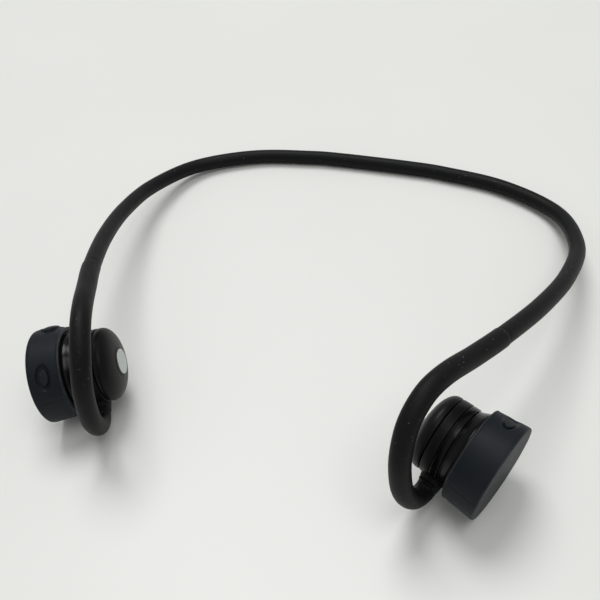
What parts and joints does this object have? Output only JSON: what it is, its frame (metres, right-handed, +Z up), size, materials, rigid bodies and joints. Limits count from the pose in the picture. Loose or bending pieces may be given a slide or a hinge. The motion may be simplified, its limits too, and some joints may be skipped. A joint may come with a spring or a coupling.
{
  "type": "bone conduction headphones",
  "caption": "Behind-the-head bone conduction headphones: sprung silicone nape band, two ear hooks and two round driver pods with domed skin faces, rim button keys and a port flap.",
  "frame": {"origin": "middle of the footprint, on the surface the headphones lie on", "axes": "+X to the right as seen from the front, which is the wearer's left, +Y to the nape of the neck, +Z up; left and right in the names are as seen from the front, and the two halves mirror each other across X = 0"},
  "size_m": [0.1728, 0.1663, 0.0477],
  "materials": {
    "tube_silicone": "matt moulded silicone, very slightly dusty",
    "cover_silicone": "matt slate silicone",
    "gloss_black": "glossy moulded plastic",
    "satin_black": "satin moulded plastic",
    "badge_grey": "smooth light grey plastic",
    "rubber": "soft black rubber",
    "spring_steel": "drawn spring wire",
    "cable_jacket": "thin coloured cable jacket",
    "magnet": "nickel-plated magnet",
    "copper": "enamelled copper winding",
    "board_green": "solder mask",
    "battery_foil": "foil pouch",
    "socket_steel": "plated steel"
  },
  "bodies": {
    "nape": {"nape_sleeve": "tube_silicone", "nape_spring_wire": "spring_steel", "nape_cable": "cable_jacket"},
    "left_arm": {"left_band_sleeve": "tube_silicone", "left_cable": "cable_jacket", "left_charging_socket": "socket_steel", "left_circuit_board": "board_green", "left_collar_band": "gloss_black", "left_dome_base_ring": "satin_black", "left_hook_sleeve": "tube_silicone", "left_housing_screw_1": "socket_steel", "left_housing_screw_2": "socket_steel", "left_housing_screw_3": "socket_steel", "left_microphone": "socket_steel", "left_neck_housing": "gloss_black", "left_outer_housing": "satin_black", "left_silicone_cover": "cover_silicone", "left_spring_wire": "spring_steel", "left_suspension_ring": "rubber", "left_tact_switch": "socket_steel", "left_tube_socket": "rubber"},
    "left_driver": {"left_dome_cap": "satin_black", "left_dome_badge": "badge_grey", "left_transducer_yoke": "socket_steel", "left_transducer_magnet": "magnet", "left_voice_coil": "copper", "left_transducer_plate": "socket_steel"},
    "left_button_key": {"left_button": "cover_silicone"},
    "left_flap": {"left_port_flap": "cover_silicone"},
    "right_arm": {"right_band_sleeve": "tube_silicone", "right_battery": "battery_foil", "right_cable": "cable_jacket", "right_circuit_board": "board_green", "right_collar_band": "gloss_black", "right_dome_base_ring": "satin_black", "right_hook_sleeve": "tube_silicone", "right_housing_screw_1": "socket_steel", "right_housing_screw_2": "socket_steel", "right_housing_screw_3": "socket_steel", "right_neck_housing": "gloss_black", "right_outer_housing": "satin_black", "right_silicone_cover": "cover_silicone", "right_spring_wire": "spring_steel", "right_suspension_ring": "rubber", "right_tact_switch": "socket_steel", "right_tube_socket": "rubber"},
    "right_driver": {"right_dome_cap": "satin_black", "right_dome_badge": "badge_grey", "right_transducer_yoke": "socket_steel", "right_transducer_magnet": "magnet", "right_voice_coil": "copper", "right_transducer_plate": "socket_steel"},
    "right_button_key": {"right_button": "cover_silicone"}
  },
  "joints": [
    {"name": "left_arm_flex", "type": "hinge", "parent": "nape", "child": "left_arm", "pos_m": [-0.014, 0.08, 0.0029], "axis": [0, 0, -1], "range_deg": [-3, 12], "stiffness_Nm_per_rad": 1},
    {"name": "left_driver_travel", "type": "slide", "parent": "left_arm", "child": "left_driver", "axis": [-0.9193, -0.3714, -0.1305], "range_m": [-0.0003, 0.0003], "stiffness_N_per_m": 3000},
    {"name": "left_button_press", "type": "slide", "parent": "left_arm", "child": "left_button_key", "axis": [-0.1793, 0.6902, -0.7011], "range_m": [0, 0.0004], "stiffness_N_per_m": 2000},
    {"name": "left_port_flap_hinge", "type": "hinge", "parent": "left_arm", "child": "left_flap", "pos_m": [-0.0709, -0.05887, 0.02856], "axis": [0.9193, 0.3714, 0.1305], "range_deg": [0, 100], "stiffness_Nm_per_rad": 0.002},
    {"name": "right_arm_flex", "type": "hinge", "parent": "nape", "child": "right_arm", "pos_m": [0.014, 0.08, 0.0029], "axis": [0, 0, 1], "range_deg": [-3, 12], "stiffness_Nm_per_rad": 1},
    {"name": "right_driver_travel", "type": "slide", "parent": "right_arm", "child": "right_driver", "axis": [0.9193, -0.3714, -0.1305], "range_m": [-0.0003, 0.0003], "stiffness_N_per_m": 3000},
    {"name": "right_button_press", "type": "slide", "parent": "right_arm", "child": "right_button_key", "axis": [-0.3011, -0.4499, -0.8408], "range_m": [0, 0.0004], "stiffness_N_per_m": 2000}
  ]
}
